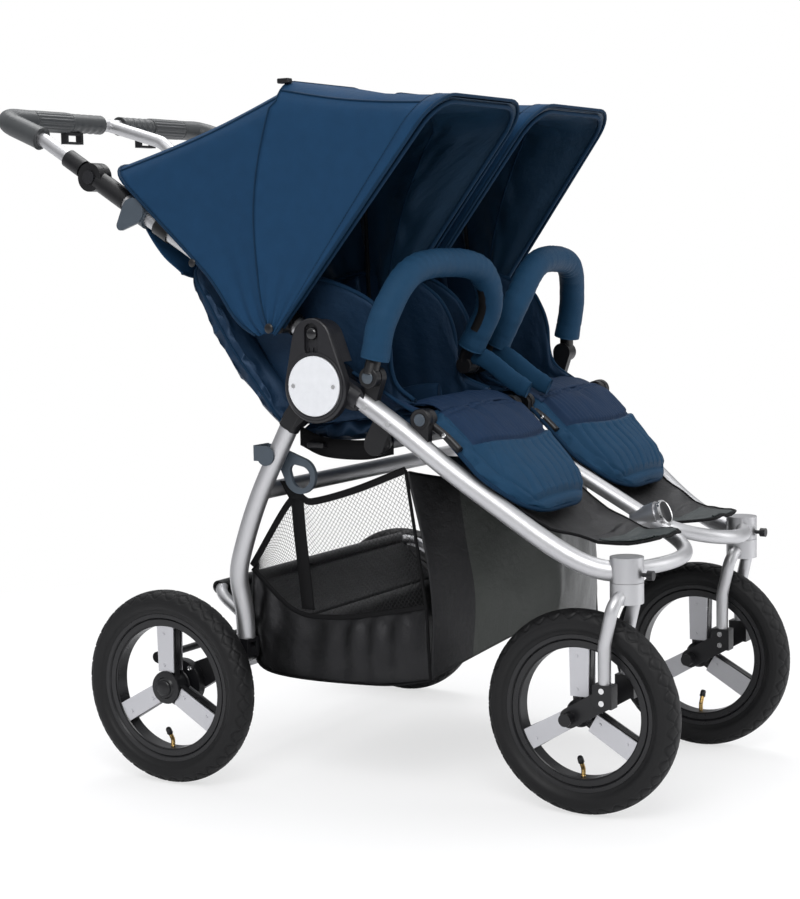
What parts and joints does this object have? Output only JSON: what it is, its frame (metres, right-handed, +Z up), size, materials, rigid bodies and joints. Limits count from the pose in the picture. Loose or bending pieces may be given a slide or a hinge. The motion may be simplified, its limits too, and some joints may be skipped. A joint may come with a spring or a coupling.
{
  "type": "jogging stroller",
  "caption": "Side-by-side twin jogging stroller with swivelling front wheels, folding canopies, reclining seats and an under-seat basket.",
  "frame": {"origin": "on the ground, midway between the rear wheels, directly below the rear axle", "axes": "+Z up; -Y towards the front wheels; +X towards the occupants' left side"},
  "size_m": [0.7676, 1.1969, 1.083],
  "materials": {
    "silver_tube": "satin anodised",
    "machined": "brushed",
    "spoke_plate": "satin plate",
    "steel_screw": "bright",
    "tyre": "matte moulded tread",
    "black_plastic": "fine grain",
    "charcoal_plastic": "fine grain",
    "white_plastic": "soft gloss",
    "slate_plastic": "fine grain",
    "grip_rubber": "ribbed",
    "navy_fabric": "fine twill",
    "seat_fabric": "padded weave",
    "black_fabric": "coated nylon"
  },
  "bodies": {
    "front_frame": {"head_tubes": "machined", "front_side_tubes": "silver_tube", "front_bow": "silver_tube", "front_knuckle": "black_plastic", "centre_spine": "silver_tube", "hub_housings": "charcoal_plastic", "hub_discs": "white_plastic", "frame_screws": "steel_screw", "seat_cross_tube": "silver_tube", "seat_brackets": "black_plastic", "footrests": "black_fabric", "seat_cushions": "seat_fabric", "crotch_straps": "seat_fabric", "basket": "black_fabric"},
    "fold_buttons": {"fold_sliders": "charcoal_plastic"},
    "swivel_pins": {"swivel_knobs": "black_plastic"},
    "rear_frame": {"rear_legs": "silver_tube", "rear_knuckles": "black_plastic", "rear_cross_tubes": "silver_tube", "rear_leg_fittings": "black_plastic"},
    "storage_latch": {"latch_ring": "slate_plastic"},
    "rear_axle": {"swing_arms": "black_plastic", "axle_tube": "silver_tube"},
    "brake": {"brake_bar": "black_plastic"},
    "handle_frame": {"push_tubes": "silver_tube", "push_knuckles": "black_plastic", "handle_joints_lower": "black_plastic", "canopy_clips": "black_plastic", "canopy_rears": "navy_fabric"},
    "release": {"release_collars": "slate_plastic"},
    "handlebar": {"handlebar_tube": "silver_tube", "handle_joints_upper": "black_plastic", "grips": "grip_rubber", "strap_loops": "black_plastic"},
    "button_right": {"handle_button_right": "charcoal_plastic"},
    "button_left": {"handle_button_left": "charcoal_plastic"},
    "fork_right": {"fork_right": "silver_tube"},
    "canopy_right": {"canopy_front_right": "navy_fabric"},
    "seat_back_right": {"seat_back_right": "seat_fabric", "harness_right": "seat_fabric"},
    "bumper_right": {"bumper_bar_right": "navy_fabric"},
    "leg_rest_right": {"leg_rest_right": "seat_fabric"},
    "front_wheel_right": {"tyre_front_right": "tyre", "wheel_front_right": "black_plastic", "spokes_front_right": "spoke_plate"},
    "rear_wheel_right": {"tyre_rear_right": "tyre", "wheel_rear_right": "black_plastic", "spokes_rear_right": "spoke_plate"},
    "fork_left": {"fork_left": "silver_tube"},
    "canopy_left": {"canopy_front_left": "navy_fabric"},
    "seat_back_left": {"seat_back_left": "seat_fabric", "harness_left": "seat_fabric"},
    "bumper_left": {"bumper_bar_left": "navy_fabric"},
    "leg_rest_left": {"leg_rest_left": "seat_fabric"},
    "front_wheel_left": {"tyre_front_left": "tyre", "wheel_front_left": "black_plastic", "spokes_front_left": "spoke_plate"},
    "rear_wheel_left": {"tyre_rear_left": "tyre", "wheel_rear_left": "black_plastic", "spokes_rear_left": "spoke_plate"}
  },
  "joints": [
    {"name": "frame_fold", "type": "hinge", "parent": "front_frame", "child": "handle_frame", "pos_m": [0, -0.268, 0.628], "axis": [1, 0, 0], "range_deg": [0, 105], "deforming": ["canopy_front_right", "canopy_front_left", "canopy_rears", "basket"]},
    {"name": "rear_fold", "type": "hinge", "parent": "front_frame", "child": "rear_frame", "pos_m": [0, -0.268, 0.628], "axis": [1, 0, 0], "range_deg": [-39.38, 0]},
    {"name": "handle_angle", "type": "hinge", "parent": "handle_frame", "child": "handlebar", "pos_m": [0, 0.182, 0.95], "axis": [1, 0, 0], "range_deg": [-40, 50]},
    {"name": "rear_suspension", "type": "hinge", "parent": "rear_frame", "child": "rear_axle", "pos_m": [0, -0.113, 0.208], "axis": [1, 0, 0], "range_deg": [-2, 6], "stiffness_Nm_per_rad": 150, "springref_deg": -4.98},
    {"name": "brake_pedal", "type": "hinge", "parent": "rear_axle", "child": "brake", "pos_m": [0, 0.034, 0.176], "axis": [-1, 0, 0], "range_deg": [0, 18]},
    {"name": "latch_turn", "type": "hinge", "parent": "rear_frame", "child": "storage_latch", "pos_m": [-0.29, -0.17, 0.519], "axis": [-1, 0, 0], "range_deg": [0, 30]},
    {"name": "fold_button_slide", "type": "slide", "parent": "front_frame", "child": "fold_buttons", "axis": [0, 0, -1], "range_m": [0, 0.012]},
    {"name": "swivel_pin_pull", "type": "slide", "parent": "front_frame", "child": "swivel_pins", "axis": [0, -1, 0], "range_m": [0, 0.006]},
    {"name": "release_slide", "type": "slide", "parent": "handle_frame", "child": "release", "axis": [0, 0.8519, 0.5237], "range_m": [0, 0.01]},
    {"name": "handle_button_right_press", "type": "slide", "parent": "handle_frame", "child": "button_right", "axis": [1, 0, 0], "range_m": [0, 0.003]},
    {"name": "handle_button_left_press", "type": "slide", "parent": "handle_frame", "child": "button_left", "axis": [-1, 0, 0], "range_m": [0, 0.003]},
    {"name": "swivel_right", "type": "hinge", "parent": "front_frame", "child": "fork_right", "pos_m": [-0.2267, -0.7189, 0.334], "axis": [0, 0, 1], "continuous": true},
    {"name": "front_spin_right", "type": "hinge", "parent": "fork_right", "child": "front_wheel_right", "pos_m": [-0.2267, -0.6479, 0.1525], "axis": [1, 0, 0], "continuous": true},
    {"name": "rear_spin_right", "type": "hinge", "parent": "rear_axle", "child": "rear_wheel_right", "pos_m": [-0.3608, 0, 0.1525], "axis": [1, 0, 0], "continuous": true},
    {"name": "canopy_right_fold", "type": "hinge", "parent": "handle_frame", "child": "canopy_right", "pos_m": [-0.318, -0.19, 0.705], "axis": [-1, 0, 0], "range_deg": [0, 30]},
    {"name": "recline_right", "type": "hinge", "parent": "front_frame", "child": "seat_back_right", "pos_m": [-0.16, -0.18, 0.56], "axis": [-1, 0, 0], "range_deg": [0, 30]},
    {"name": "bumper_right_swing", "type": "hinge", "parent": "front_frame", "child": "bumper_right", "pos_m": [-0.321, -0.357, 0.642], "axis": [1, 0, 0], "range_deg": [0, 73.5]},
    {"name": "leg_rest_right_lift", "type": "hinge", "parent": "front_frame", "child": "leg_rest_right", "pos_m": [-0.298, -0.43, 0.58], "axis": [1, 0, 0], "range_deg": [-35, 0]},
    {"name": "swivel_left", "type": "hinge", "parent": "front_frame", "child": "fork_left", "pos_m": [0.2267, -0.7189, 0.334], "axis": [0, 0, 1], "continuous": true},
    {"name": "front_spin_left", "type": "hinge", "parent": "fork_left", "child": "front_wheel_left", "pos_m": [0.2267, -0.6479, 0.1525], "axis": [1, 0, 0], "continuous": true},
    {"name": "rear_spin_left", "type": "hinge", "parent": "rear_axle", "child": "rear_wheel_left", "pos_m": [0.3608, 0, 0.1525], "axis": [1, 0, 0], "continuous": true},
    {"name": "canopy_left_fold", "type": "hinge", "parent": "handle_frame", "child": "canopy_left", "pos_m": [0.318, -0.19, 0.705], "axis": [-1, 0, 0], "range_deg": [0, 30]},
    {"name": "recline_left", "type": "hinge", "parent": "front_frame", "child": "seat_back_left", "pos_m": [0.16, -0.18, 0.56], "axis": [-1, 0, 0], "range_deg": [0, 30]},
    {"name": "bumper_left_swing", "type": "hinge", "parent": "front_frame", "child": "bumper_left", "pos_m": [0.321, -0.357, 0.642], "axis": [1, 0, 0], "range_deg": [0, 73.5]},
    {"name": "leg_rest_left_lift", "type": "hinge", "parent": "front_frame", "child": "leg_rest_left", "pos_m": [0.298, -0.43, 0.58], "axis": [1, 0, 0], "range_deg": [-35, 0]}
  ],
  "couplings": [
    {"joint": "rear_fold", "follows": "frame_fold", "ratio": -0.375},
    {"joint": "bumper_right_swing", "follows": "frame_fold", "ratio": 0.7},
    {"joint": "bumper_left_swing", "follows": "frame_fold", "ratio": 0.7},
    {"joint": "handle_button_left_press", "follows": "handle_button_right_press", "ratio": 1}
  ]
}
